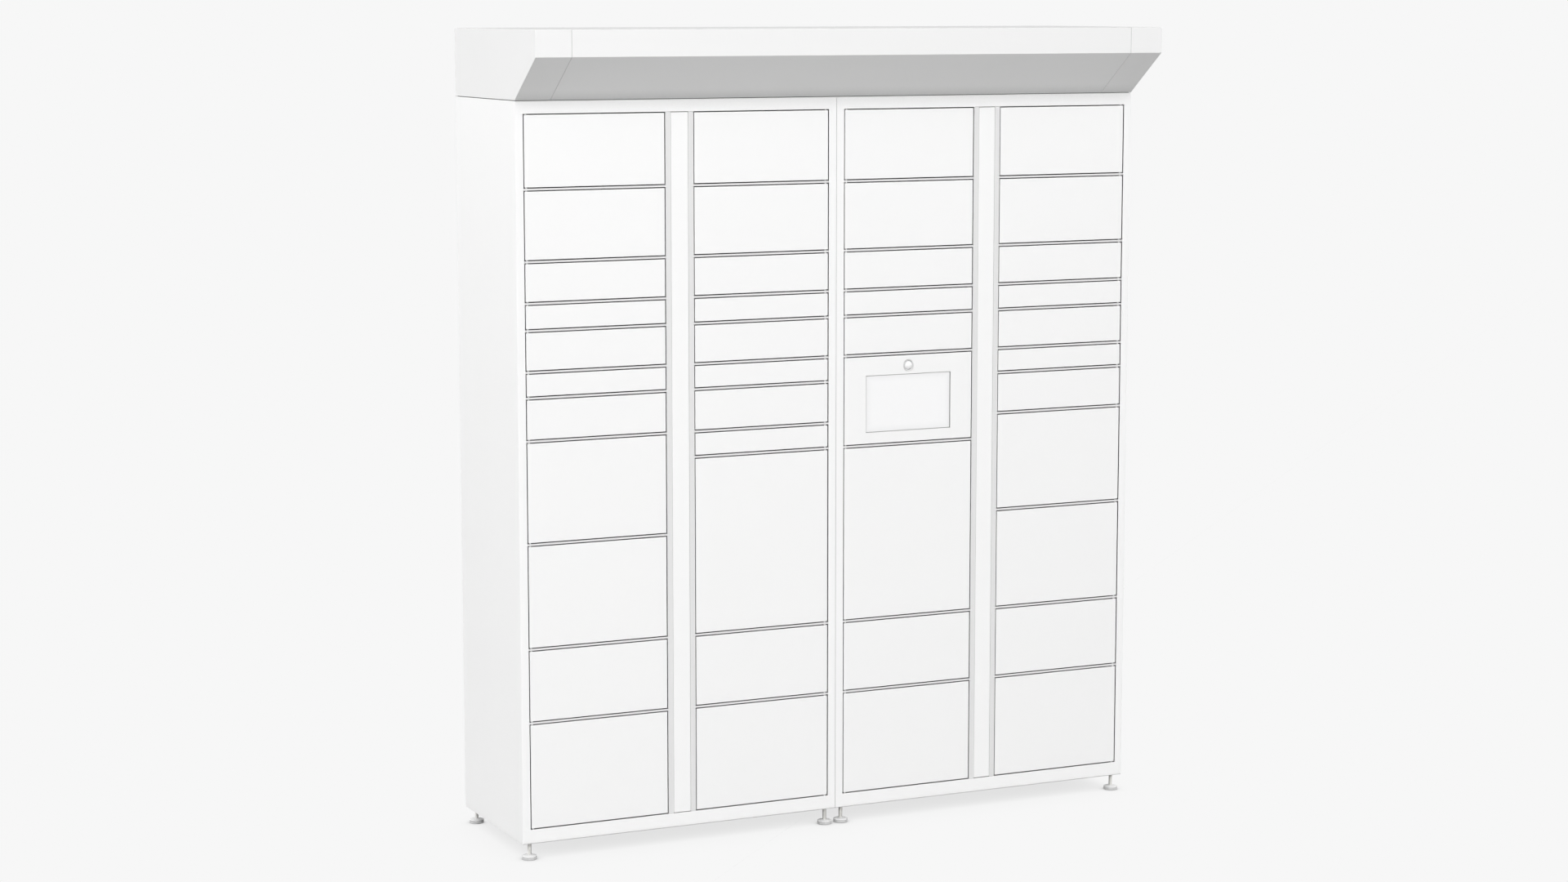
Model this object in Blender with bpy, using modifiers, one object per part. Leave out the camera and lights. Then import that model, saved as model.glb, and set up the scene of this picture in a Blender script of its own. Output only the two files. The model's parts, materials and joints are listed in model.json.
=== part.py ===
"""Parcel locker: two joined one-metre modules with 41 hinged doors, a terminal and a rain canopy.

Metres, +Z up. The fronts face -Y. X = 0 is the joint between the two modules, Y = 0 is the middle
of the depth from the canopy's front to the back, and Z = 0 is the floor under the levelling feet.
"""

import math

import bmesh
import bpy
from mathutils import Matrix, Vector

# Driving dimensions
MODULE_WIDTH = 1.000
BODY_DEPTH = 0.500
BODY_HEIGHT = 2.1325
GROUND_CLEARANCE = 0.048
CANOPY_REACH = 0.1714  # how far the canopy stands out in front of the doors
CANOPY_HEIGHT = 0.1992
FASCIA_HEIGHT = 0.076
CANOPY_END = 0.107  # width of the canopy's two end pieces

SHEET = 0.0015  # body and door sheet
THIN_SHEET = 0.0012  # rack and shelf sheet
FIT = 0.0003  # gap left between pieces that touch
MODULE_JOINT = 0.0004  # gap between the two modules' side walls

# Front layout of a module, from its side wall inwards
SIDE_MARGIN = 0.0245
DOOR_GAP = 0.003
DOOR_WIDTH = 0.426
POST_WIDTH = 0.01625
COVER_WIDTH = 0.0535
SILL = 0.0425  # height of the band under the lowest doors
HEADER = BODY_HEIGHT - 0.0360  # underside of the band over the top doors

# Compartment pitches from the top down, rail centre to rail centre
TOP_BANK = (0.2100, 0.2040, 0.1180, 0.0770, 0.1180)
FULL_COLUMN = TOP_BANK + (0.0735, 0.1235, 0.2970, 0.3040, 0.2150, 0.3110)
TALL_COLUMN = TOP_BANK + (0.0735, 0.1235, 0.0743, 0.5267, 0.2150, 0.3110)
TERMINAL_COLUMN = TOP_BANK + (0.2713, 0.5267, 0.2150, 0.3110)
TERMINAL_PLACE = 5  # which compartment of TERMINAL_COLUMN the terminal fills
COLUMNS = (FULL_COLUMN, TALL_COLUMN, TERMINAL_COLUMN, FULL_COLUMN)

RAIL_HEIGHT = 0.0054
RAIL_DEPTH = 0.0132
RAIL_RECESS = SHEET + FIT
SHELF_SETBACK = 0.010  # where a shelf plate starts behind the body's front face

DOOR_DEPTH = 0.016
PIN_RADIUS = 0.0020
PIN_HOLE_RADIUS = 0.0026
PIN_INSET = 0.0065  # pin axis from the door's hinge edge
PIN_BEHIND = 0.0055  # pin axis behind the door's face
PIN_SIDES = 8
PIN_REACH = DOOR_GAP + 0.0022  # pin standing out of the door's top and bottom edges

COVER_DEPTH = 0.010

SCREEN_WIDTH = 0.284
SCREEN_HEIGHT = 0.1706
SCREEN_CENTRE = 1.2211  # above the body's underside
CAMERA_CENTRE = 1.3318
CAMERA_WINDOW_RADIUS = 0.018
CAMERA_BARREL_RADIUS = 0.0165
CAMERA_DOME_RADIUS = 0.012
CAMERA_DOME_BEHIND = 0.005  # the dome's centre behind the body's front face
SCREEN_RECESS = 0.0025
DISPLAY_BEZEL = 0.008
DISPLAY_DEPTH = 0.014
MOUNT_PLATE = (0.330, 0.236)
MOUNT_PLATE_THICKNESS = 0.003
MOUNT_PLATE_DROP = 0.006  # the plate's lower edge below the display
COMPUTER_BOX = (0.240, 0.150, 0.045)

FOOT_RADIUS = 0.0213
FOOT_THICKNESS = 0.0116
FOOT_BEVEL = 0.0012
STEM_RADIUS = 0.006
STEM_TOP = GROUND_CLEARANCE + 0.020
STEM_HOLE_RADIUS = 0.0072
FOOT_FROM_SIDE = 0.027
FOOT_FROM_FRONT = 0.0193
FOOT_FROM_BACK = 0.0268
ROUND_SIDES = 16
CUT_REACH = 0.005  # how far a cutting shape stands out on each side of the sheet it cuts

# Derived places
FRONT = -(BODY_DEPTH - CANOPY_REACH) / 2
BACK = FRONT + BODY_DEPTH
BASE = GROUND_CLEARANCE
TOP = BASE + BODY_HEIGHT
POST_START = SIDE_MARGIN + DOOR_GAP + DOOR_WIDTH + DOOR_GAP
TOP_RAIL = HEADER + FIT + RAIL_HEIGHT / 2
BOTTOM_RAIL = SILL - FIT - RAIL_HEIGHT / 2


def clear_scene():
    for obj in list(bpy.data.objects):
        bpy.data.objects.remove(obj, do_unlink=True)


def new_collection(name):
    collection = bpy.data.collections.new(name)
    bpy.context.scene.collection.children.link(collection)
    return collection


def make_material(name, colour, roughness, metallic):
    material = bpy.data.materials.new(name)
    material.use_nodes = True
    shader = material.node_tree.nodes["Principled BSDF"]
    shader.inputs["Base Color"].default_value = (*colour, 1.0)
    shader.inputs["Roughness"].default_value = roughness
    shader.inputs["Metallic"].default_value = metallic
    material.diffuse_color = (*colour, 1.0)
    return material


clear_scene()
PARTS = new_collection("parcel_locker")
CUTTERS = new_collection("cutters")
POWDER_COAT = make_material("powder_coat", (0.86, 0.86, 0.85), 0.45, 0.0)
RACK_STEEL = make_material("rack_steel", (0.80, 0.81, 0.81), 0.50, 0.0)
DISPLAY_GLASS = make_material("display_glass", (0.80, 0.82, 0.83), 0.20, 0.0)
ZINC = make_material("zinc", (0.78, 0.78, 0.77), 0.35, 0.6)


def add_box(mesh, low, high):
    """A closed box between two corners."""
    size = Vector(high) - Vector(low)
    centre = (Vector(high) + Vector(low)) / 2
    place = Matrix.Translation(centre) @ Matrix.Diagonal((*size, 1.0))
    bmesh.ops.create_cube(mesh, size=1.0, matrix=place)


def add_cylinder(mesh, centre, radius, length, sides, turn=Matrix.Identity(4)):
    """A closed cylinder about its centre, along Z unless turned."""
    place = Matrix.Translation(centre) @ turn
    bmesh.ops.create_cone(
        mesh, cap_ends=True, segments=sides, radius1=radius, radius2=radius, depth=length, matrix=place
    )


def add_prism(mesh, outline, axis, start, end):
    """A closed prism: a flat outline in the two other axes' order, pushed along axis from start to end."""
    others = [i for i in range(3) if i != axis]
    corners = []
    for a, b in outline:
        point = [0.0, 0.0, 0.0]
        point[others[0]], point[others[1]], point[axis] = a, b, start
        corners.append(mesh.verts.new(point))
    face = mesh.faces.new(corners)
    pushed = bmesh.ops.extrude_face_region(mesh, geom=[face])
    moved = [v for v in pushed["geom"] if isinstance(v, bmesh.types.BMVert)]
    shift = Vector((0.0, 0.0, 0.0))
    shift[axis] = end - start
    bmesh.ops.translate(mesh, verts=moved, vec=shift)
    bmesh.ops.recalc_face_normals(mesh, faces=mesh.faces)


def make_object(name, mesh, material=None, origin=(0.0, 0.0, 0.0), helper=False):
    """Turns a bmesh in world coordinates into an object whose origin is at the given point."""
    bmesh.ops.translate(mesh, verts=mesh.verts, vec=-Vector(origin))
    data = bpy.data.meshes.new(name)
    mesh.to_mesh(data)
    mesh.free()
    if material:
        data.materials.append(material)
    obj = bpy.data.objects.new(name, data)
    obj.location = origin
    (CUTTERS if helper else PARTS).objects.link(obj)
    if helper:
        obj.hide_render = True
        obj.display_type = "WIRE"
    return obj


def combine(target, operation, name, fill, *arguments):
    """Joins or cuts target with a helper object whose mesh fill(mesh, ...) makes."""
    mesh = bmesh.new()
    fill(mesh, *arguments)
    helper = make_object(f"{target.name}_{name}", mesh, helper=True)
    modifier = target.modifiers.new(name, "BOOLEAN")
    modifier.operation = operation
    modifier.solver = "EXACT"
    modifier.object = helper


def module_start(module):
    return (module - 1) * MODULE_WIDTH


def column_side(column):
    """Which way a column's hinge side lies: -1 for the left wall of its module, +1 for the right wall."""
    return -1 if column % 2 == 0 else 1


def from_wall(column, distance):
    """X of a point at a distance inwards from the outer wall of a column's module."""
    wall = module_start(column // 2) + (0.0 if column % 2 == 0 else MODULE_WIDTH)
    return wall - column_side(column) * distance


def span(column, near, far):
    """X range between two distances from a column's wall, low end first."""
    ends = (from_wall(column, near), from_wall(column, far))
    return min(ends), max(ends)


def rail_heights(column):
    """Rail centres of a column from the top down, world Z."""
    heights = [HEADER - DOOR_GAP / 2]
    for pitch in COLUMNS[column]:
        heights.append(heights[-1] - pitch)
    heights[0], heights[-1] = TOP_RAIL, BOTTOM_RAIL
    return [BASE + z for z in heights]


def pin_place(column):
    return from_wall(column, SIDE_MARGIN + DOOR_GAP + PIN_INSET), FRONT + PIN_BEHIND


# Cabinet shells


def foot_places(module):
    """Foot centres of a module: front and back, near both side walls."""
    places = []
    for x in (FOOT_FROM_SIDE, MODULE_WIDTH - FOOT_FROM_SIDE):
        for y in (FRONT + FOOT_FROM_FRONT, BACK - FOOT_FROM_BACK):
            places.append((module_start(module) + x, y))
    return places


def fill_shell_openings(mesh, module):
    left = module_start(module)
    low = (left + SIDE_MARGIN, FRONT - CUT_REACH, BASE + SILL)
    high = (left + MODULE_WIDTH - SIDE_MARGIN, FRONT + CUT_REACH, BASE + HEADER)
    add_box(mesh, low, high)
    for x, y in foot_places(module):
        add_cylinder(mesh, (x, y, BASE), STEM_HOLE_RADIUS, 2 * CUT_REACH, ROUND_SIDES)


def make_shell(name, module):
    left = module_start(module) + (MODULE_JOINT / 2 if module == 1 else 0.0)
    right = module_start(module) + MODULE_WIDTH - (MODULE_JOINT / 2 if module == 0 else 0.0)
    mesh = bmesh.new()
    add_box(mesh, (left, FRONT, BASE), (right, BACK, TOP))
    shell = make_object(name, mesh, POWDER_COAT)
    low = (left + SHEET, FRONT + SHEET, BASE + SHEET)
    high = (right - SHEET, BACK - SHEET, TOP - SHEET)
    combine(shell, "DIFFERENCE", "hollow", add_box, low, high)
    combine(shell, "DIFFERENCE", "front_and_foot_holes", fill_shell_openings, module)


# Racks


def channel_outline(module):
    """Plan of the upright channel between a module's two columns: two partitions and a rear web."""
    left = module_start(module) + POST_START
    right = module_start(module) + MODULE_WIDTH - POST_START
    front, back = FRONT + RAIL_RECESS, BACK - SHEET - FIT
    inner_back = back - THIN_SHEET
    return [
        (left, front),
        (left, back),
        (right, back),
        (right, front),
        (right - THIN_SHEET, front),
        (right - THIN_SHEET, inner_back),
        (left + THIN_SHEET, inner_back),
        (left + THIN_SHEET, front),
    ]


def fill_posts(mesh, module):
    """The partitions' folded front edges, which show as narrow strips beside the channel cover."""
    for column in (2 * module, 2 * module + 1):
        side = -column_side(column)
        edge = from_wall(column, POST_START)
        strip = edge + side * POST_WIDTH
        web = edge + side * THIN_SHEET
        outline = [
            (edge, FRONT),
            (strip, FRONT),
            (strip, FRONT + THIN_SHEET),
            (web, FRONT + THIN_SHEET),
            (web, FRONT + SHELF_SETBACK),
            (edge, FRONT + SHELF_SETBACK),
        ]
        add_prism(mesh, outline, 2, BASE + SILL + FIT, BASE + HEADER - FIT)


def fill_rails(mesh, module):
    for column in (2 * module, 2 * module + 1):
        x_low, x_high = span(column, SIDE_MARGIN + FIT, POST_START + THIN_SHEET / 2)
        for z in rail_heights(column):
            low = (x_low, FRONT + RAIL_RECESS, z - RAIL_HEIGHT / 2)
            add_box(mesh, low, (x_high, low[1] + RAIL_DEPTH, z + RAIL_HEIGHT / 2))


def fill_shelves(mesh, module):
    for column in (2 * module, 2 * module + 1):
        x_low, x_high = span(column, SHEET + MODULE_JOINT + FIT, POST_START + THIN_SHEET / 2)
        for z in rail_heights(column):
            low = (x_low, FRONT + SHELF_SETBACK, z + RAIL_HEIGHT / 2 - 2 * THIN_SHEET)
            add_box(mesh, low, (x_high, BACK - SHEET - 2 * FIT, low[2] + THIN_SHEET))


def fill_pin_holes(mesh, module):
    for column in (2 * module, 2 * module + 1):
        x, y = pin_place(column)
        for z in rail_heights(column):
            add_cylinder(mesh, (x, y, z), PIN_HOLE_RADIUS, 2 * RAIL_HEIGHT, PIN_SIDES)


def make_rack(name, module):
    mesh = bmesh.new()
    low, high = BASE + BOTTOM_RAIL - RAIL_HEIGHT, BASE + TOP_RAIL + RAIL_HEIGHT
    add_prism(mesh, channel_outline(module), 2, low, high)
    rack = make_object(name, mesh, RACK_STEEL)
    combine(rack, "UNION", "posts", fill_posts, module)
    combine(rack, "UNION", "rails", fill_rails, module)
    combine(rack, "UNION", "shelves", fill_shelves, module)
    combine(rack, "DIFFERENCE", "pin_holes", fill_pin_holes, module)


# Doors


def fill_pins(mesh, column, low, high):
    """One pin through each end flange, into the rails above and below."""
    x, y = pin_place(column)
    for z, way in ((low, -1), (high, 1)):
        root = z - way * SHEET / 2
        length = PIN_REACH + SHEET / 2
        add_cylinder(mesh, (x, y, root + way * length / 2), PIN_RADIUS, length, PIN_SIDES)


def fill_terminal_windows(mesh, centre_x):
    low = (centre_x - SCREEN_WIDTH / 2, FRONT - CUT_REACH, BASE + SCREEN_CENTRE - SCREEN_HEIGHT / 2)
    high = (centre_x + SCREEN_WIDTH / 2, FRONT + CUT_REACH, BASE + SCREEN_CENTRE + SCREEN_HEIGHT / 2)
    add_box(mesh, low, high)
    turn = Matrix.Rotation(math.pi / 2, 4, "X")
    centre = (centre_x, FRONT, BASE + CAMERA_CENTRE)
    add_cylinder(mesh, centre, CAMERA_WINDOW_RADIUS, 2 * CUT_REACH, 2 * ROUND_SIDES, turn)


def make_door(name, column, low, high):
    """A tray door: a face sheet with return flanges, its origin on the hinge axis."""
    left, right = span(column, SIDE_MARGIN + DOOR_GAP, SIDE_MARGIN + DOOR_GAP + DOOR_WIDTH)
    pin_x, pin_y = pin_place(column)
    mesh = bmesh.new()
    add_box(mesh, (left, FRONT, low), (right, FRONT + DOOR_DEPTH, high))
    door = make_object(name, mesh, POWDER_COAT, origin=(pin_x, pin_y, low))
    tray_low = (left + SHEET, FRONT + SHEET, low + SHEET)
    tray_high = (right - SHEET, FRONT + 2 * DOOR_DEPTH, high - SHEET)
    combine(door, "DIFFERENCE", "tray", add_box, tray_low, tray_high)
    combine(door, "UNION", "pins", fill_pins, column, low, high)
    return door


def door_edges(column):
    """Bottom and top edge of each door of a column, from the top down, world Z."""
    seams = [HEADER - DOOR_GAP / 2]
    for pitch in COLUMNS[column]:
        seams.append(seams[-1] - pitch)
    edges = []
    last = len(COLUMNS[column]) - 1
    for place in range(last + 1):
        above = DOOR_GAP / 2 if place == 0 else RAIL_HEIGHT / 2 + DOOR_GAP
        below = DOOR_GAP / 2 if place == last else RAIL_HEIGHT / 2 + DOOR_GAP
        edges.append((BASE + seams[place + 1] + below, BASE + seams[place] - above))
    return edges


def make_doors():
    for column in range(len(COLUMNS)):
        number = 0
        for place, (low, high) in enumerate(door_edges(column)):
            if COLUMNS[column] is TERMINAL_COLUMN and place == TERMINAL_PLACE:
                door = make_door("terminal_door", column, low, high)
                centre_x = from_wall(column, SIDE_MARGIN + DOOR_GAP + DOOR_WIDTH / 2)
                combine(door, "DIFFERENCE", "windows", fill_terminal_windows, centre_x)
                make_terminal(centre_x)
            else:
                number += 1
                make_door(f"door_{column + 1}_{number:02d}", column, low, high)


# Control terminal, bolted behind the terminal door

def fill_computer_and_display(mesh, centre_x, plate_front):
    """The display in front of the mounting plate and the computer's box behind it."""
    half_width = SCREEN_WIDTH / 2 + DISPLAY_BEZEL
    half_height = SCREEN_HEIGHT / 2 + DISPLAY_BEZEL
    z = BASE + SCREEN_CENTRE
    add_box(
        mesh,
        (centre_x - half_width, FRONT + SCREEN_RECESS, z - half_height),
        (centre_x + half_width, plate_front + MOUNT_PLATE_THICKNESS / 3, z + half_height),
    )
    back = plate_front + MOUNT_PLATE_THICKNESS * 2 / 3
    add_box(
        mesh,
        (centre_x - COMPUTER_BOX[0] / 2, back, z - COMPUTER_BOX[1] / 2),
        (centre_x + COMPUTER_BOX[0] / 2, back + COMPUTER_BOX[2], z + COMPUTER_BOX[1] / 2),
    )


def fill_camera_barrel(mesh, centre_x, plate_front):
    turn = Matrix.Rotation(math.pi / 2, 4, "X")
    front = FRONT + SCREEN_RECESS
    back = plate_front + MOUNT_PLATE_THICKNESS / 3
    centre = (centre_x, (front + back) / 2, BASE + CAMERA_CENTRE)
    add_cylinder(mesh, centre, CAMERA_BARREL_RADIUS, back - front, 2 * ROUND_SIDES, turn)


def fill_camera_dome(mesh, centre_x):
    centre = Matrix.Translation((centre_x, FRONT + CAMERA_DOME_BEHIND, BASE + CAMERA_CENTRE))
    rings = ROUND_SIDES // 2
    bmesh.ops.create_uvsphere(
        mesh, u_segments=ROUND_SIDES, v_segments=rings, radius=CAMERA_DOME_RADIUS, matrix=centre
    )


def make_terminal(centre_x):
    plate_front = FRONT + SCREEN_RECESS + DISPLAY_DEPTH
    plate_low = BASE + SCREEN_CENTRE - SCREEN_HEIGHT / 2 - DISPLAY_BEZEL - MOUNT_PLATE_DROP
    mesh = bmesh.new()
    add_box(
        mesh,
        (centre_x - MOUNT_PLATE[0] / 2, plate_front, plate_low),
        (centre_x + MOUNT_PLATE[0] / 2, plate_front + MOUNT_PLATE_THICKNESS, plate_low + MOUNT_PLATE[1]),
    )
    terminal = make_object("control_terminal", mesh, DISPLAY_GLASS)
    combine(terminal, "UNION", "computer", fill_computer_and_display, centre_x, plate_front)
    combine(terminal, "UNION", "camera_barrel", fill_camera_barrel, centre_x, plate_front)
    combine(terminal, "UNION", "camera_dome", fill_camera_dome, centre_x)


# Channel covers


def make_cover(name, module):
    """The long flush tray that closes the cable channel between a module's two columns."""
    centre = module_start(module) + MODULE_WIDTH / 2
    low = (centre - COVER_WIDTH / 2, FRONT, BASE + SILL + DOOR_GAP / 2)
    high = (centre + COVER_WIDTH / 2, FRONT + COVER_DEPTH, BASE + HEADER - DOOR_GAP / 2)
    mesh = bmesh.new()
    add_box(mesh, low, high)
    cover = make_object(name, mesh, POWDER_COAT)
    tray_low = tuple(value + SHEET for value in low)
    tray_high = (high[0] - SHEET, FRONT + 2 * COVER_DEPTH, high[2] - SHEET)
    combine(cover, "DIFFERENCE", "tray", add_box, tray_low, tray_high)


# Canopy


def canopy_outline():
    """Side view of the canopy: sill on the body, sloped soffit, fascia, flat top and back."""
    bottom = TOP + FIT
    top = TOP + CANOPY_HEIGHT
    nose = FRONT - CANOPY_REACH
    return [(BACK, bottom), (FRONT, bottom), (nose, top - FASCIA_HEIGHT), (nose, top), (BACK, top)]


def make_canopy_piece(name, left, right, closed_end=None):
    """A folded sheet tube, with an end plate on the side that closed_end names."""
    mesh = bmesh.new()
    rings = []
    for x in (left, right):
        rings.append([mesh.verts.new((x, y, z)) for y, z in canopy_outline()])
    count = len(rings[0])
    for i in range(count):
        j = (i + 1) % count
        mesh.faces.new((rings[0][i], rings[0][j], rings[1][j], rings[1][i]))
    if closed_end == "left":
        mesh.faces.new(list(reversed(rings[0])))
    if closed_end == "right":
        mesh.faces.new(rings[1])
    bmesh.ops.recalc_face_normals(mesh, faces=mesh.faces)
    middle = Vector(((left + right) / 2, 0.0, TOP + CANOPY_HEIGHT / 2))
    outward = sum((f.calc_center_median() - middle).dot(f.normal) for f in mesh.faces)
    if outward < 0:
        bmesh.ops.reverse_faces(mesh, faces=mesh.faces)
    piece = make_object(name, mesh, POWDER_COAT)
    wall = piece.modifiers.new("sheet", "SOLIDIFY")
    wall.thickness = SHEET
    wall.offset = -1.0
    wall.use_even_offset = True


def make_canopy():
    left_joint = -MODULE_WIDTH + CANOPY_END
    right_joint = MODULE_WIDTH - CANOPY_END
    make_canopy_piece("canopy_left_end", -MODULE_WIDTH, left_joint - FIT / 2, "left")
    make_canopy_piece("canopy_middle", left_joint + FIT / 2, right_joint - FIT / 2)
    make_canopy_piece("canopy_right_end", right_joint + FIT / 2, MODULE_WIDTH, "right")


# Levelling feet


def make_foot(name, x, y):
    """A bevelled disc on a stem, turned about its axis, its origin on the floor under the axis."""
    profile = [
        (0.0, STEM_TOP),
        (STEM_RADIUS, STEM_TOP),
        (STEM_RADIUS, FOOT_THICKNESS),
        (FOOT_RADIUS - FOOT_BEVEL, FOOT_THICKNESS),
        (FOOT_RADIUS, FOOT_THICKNESS - FOOT_BEVEL),
        (FOOT_RADIUS, 0.0),
        (0.0, 0.0),
    ]
    mesh = bmesh.new()
    points = [mesh.verts.new((r, 0.0, z)) for r, z in profile]
    for a, b in zip(points, points[1:]):
        mesh.edges.new((a, b))
    foot = make_object(name, mesh, ZINC)
    foot.location = (x, y, 0.0)
    turn = foot.modifiers.new("turned", "SCREW")
    turn.steps = ROUND_SIDES
    turn.render_steps = ROUND_SIDES
    turn.use_merge_vertices = True
    turn.merge_threshold = 0.0001


def main():
    for module, side in enumerate(("left", "right")):
        make_shell(f"{side}_shell", module)
        make_rack(f"{side}_rack", module)
        make_cover(f"{side}_channel_cover", module)
    make_doors()
    make_canopy()
    feet = foot_places(0) + foot_places(1)
    for number, (x, y) in enumerate(feet, start=1):
        make_foot(f"foot_{number}", x, y)


main()
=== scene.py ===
# %% [markdown]
# # A parcel locker in white powder-coated steel
# The solid parts of this locker already exist as a fixed frame: cabinets, racks, doors, feet and a
# canopy, each in its true place. This notebook dresses that frame. Folded sheet gets its bends, the
# hinges, locks and feet get their small parts, and every surface gets a finish made of nodes.

# %% Load the frame
import json
import math

import bmesh
import bpy
import numpy as np
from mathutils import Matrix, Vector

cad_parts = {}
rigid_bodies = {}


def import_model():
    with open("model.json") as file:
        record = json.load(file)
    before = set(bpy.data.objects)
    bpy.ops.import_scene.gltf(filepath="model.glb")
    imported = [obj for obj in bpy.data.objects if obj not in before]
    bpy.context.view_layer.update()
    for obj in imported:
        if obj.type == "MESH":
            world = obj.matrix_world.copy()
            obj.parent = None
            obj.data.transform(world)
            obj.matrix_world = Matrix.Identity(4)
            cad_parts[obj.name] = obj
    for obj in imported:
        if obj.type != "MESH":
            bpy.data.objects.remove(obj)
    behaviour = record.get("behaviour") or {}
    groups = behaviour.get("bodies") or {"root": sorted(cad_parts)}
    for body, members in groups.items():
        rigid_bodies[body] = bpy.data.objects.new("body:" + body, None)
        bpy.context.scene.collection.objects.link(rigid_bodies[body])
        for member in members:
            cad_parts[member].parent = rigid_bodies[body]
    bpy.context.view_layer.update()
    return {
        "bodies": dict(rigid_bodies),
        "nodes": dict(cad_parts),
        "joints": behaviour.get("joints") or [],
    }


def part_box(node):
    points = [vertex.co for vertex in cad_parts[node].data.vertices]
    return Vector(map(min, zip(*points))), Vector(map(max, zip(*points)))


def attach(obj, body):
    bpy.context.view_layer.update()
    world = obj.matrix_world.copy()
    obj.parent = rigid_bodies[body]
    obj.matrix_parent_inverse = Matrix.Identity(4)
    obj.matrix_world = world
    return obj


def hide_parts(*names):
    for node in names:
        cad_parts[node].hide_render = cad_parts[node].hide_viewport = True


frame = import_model()

# %% [markdown]
# ## Where things are
# Nothing is placed by eye. The few sizes that every piece shares are read from the boxes of the
# frame's own parts: the cabinets give the front plane, the back and the height, and the lowest foot
# gives the floor.

# %% Places shared by many pieces
MM = 0.001


def box(node):
    """The lowest and highest corner of a frame part, as two arrays."""
    low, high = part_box(node)
    return np.array(low), np.array(high)


LEFT_LOW, LEFT_HIGH = box("left_shell")
RIGHT_LOW, RIGHT_HIGH = box("right_shell")
FRONT, BACK = LEFT_LOW[1], LEFT_HIGH[1]
BASE, TOP = LEFT_LOW[2], LEFT_HIGH[2]
COVER_LOW, COVER_HIGH = box("left_channel_cover")
print(f"front {FRONT:.4f}  back {BACK:.4f}  underside {BASE:.4f}  top {TOP:.4f}")

# %% [markdown]
# ## Surfaces from arrays
# Most of this locker is folded sheet, and a folded sheet is one idea: an outline that shrinks or
# grows a little at each depth. So one function rounds and insets an outline, a second one stacks
# such outlines into rings of points, and a third one turns rings into a mesh. The same three make
# doors, covers, cabinets and the canopy. Modelling each by hand with a bevel tool would also work,
# but every size would then be hidden in clicks instead of being written down.


# %% Rounded and inset outlines
def rounded_outline(corners, inset, radius, steps=4):
    """A convex outline, counter-clockwise, moved inwards and with arcs for corners.

    Side i moves inwards by inset[i]. A corner is where its two moved sides meet, and its arc has the
    centre c = meeting point + r * (n1 + n2) / (1 + n1.n2), with n1 and n2 the sides' inward normals,
    and runs from angle of -n1 to angle of -n2.
    """
    corners = np.asarray(corners, float)
    inset = np.broadcast_to(np.asarray(inset, float), len(corners))
    along = np.roll(corners, -1, axis=0) - corners
    along /= np.linalg.norm(along, axis=1, keepdims=True)
    normal = np.stack([-along[:, 1], along[:, 0]], axis=1)
    before = np.roll(normal, 1, axis=0)
    sides = np.stack([before, normal], axis=1)
    reach = np.stack([np.roll(inset, 1), inset], axis=1) + np.einsum("ijk,ik->ij", sides, corners)
    meeting = np.linalg.solve(sides, reach[..., None])[..., 0]
    miter = (before + normal) / (1 + np.sum(before * normal, axis=1, keepdims=True))
    centre = meeting + radius * miter
    start = np.arctan2(-before[:, 1], -before[:, 0])
    sine = before[:, 0] * normal[:, 1] - before[:, 1] * normal[:, 0]
    turn = np.arctan2(sine, np.sum(before * normal, axis=1))
    angle = start[:, None] + turn[:, None] * np.linspace(0, 1, steps + 1)
    arc = radius * np.stack([np.cos(angle), np.sin(angle)], axis=-1)
    return (centre[:, None, :] + arc).reshape(-1, 2)


def rectangle(low, high):
    """The four corners of an upright rectangle, counter-clockwise."""
    return [(low[0], low[1]), (high[0], low[1]), (high[0], high[1]), (low[0], high[1])]


# %% Rings, grids and shapes
def grid_faces(rows, columns):
    """Quads between neighbouring rows of a grid, whose last column joins its first."""
    row = np.arange(rows - 1)[:, None]
    column = np.arange(columns)[None, :]
    a = row * columns + column
    b = row * columns + (column + 1) % columns
    return np.stack([a, a + columns, b + columns, b], axis=-1).reshape(-1, 4).tolist()


def stacked(rings, looped=False):
    """A shape from rings of equal length: quads between them, and a flat cap on the first and last.

    A looped stack joins its last ring back to its first, as in a tube's wall.
    """
    rings = np.asarray(rings, float)
    if looped:
        rings = np.concatenate([rings, rings[:1]])
    rows, columns = rings.shape[:2]
    points = rings.reshape(-1, 3)
    faces = grid_faces(rows, columns)
    if looped:
        points = points[:-columns]
        faces = (np.array(faces) % len(points)).tolist()
    else:
        faces.append(list(range(columns)))
        faces.append(list(range(rows * columns - 1, (rows - 1) * columns - 1, -1)))
    return points, faces


def joined(shapes):
    """Several shapes as one: their points one after another, and their faces renumbered."""
    points, faces, count = [], [], 0
    for shape_points, shape_faces in shapes:
        points.append(shape_points)
        faces.extend([[index + count for index in face] for face in shape_faces])
        count += len(shape_points)
    return np.concatenate(points), faces


def outward_mesh(name, shape):
    """A mesh of a closed shape, with every face turned outwards."""
    points, faces = shape
    mesh = bpy.data.meshes.new(name)
    mesh.from_pydata(points.tolist(), [], faces)
    work = bmesh.new()
    work.from_mesh(mesh)
    bmesh.ops.recalc_face_normals(work, faces=work.faces)
    work.to_mesh(mesh)
    work.free()
    return mesh


def add_object(name, data):
    """A new object in the scene, at the origin."""
    added = bpy.data.objects.new(name, data)
    bpy.context.scene.collection.objects.link(added)
    return added


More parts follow.
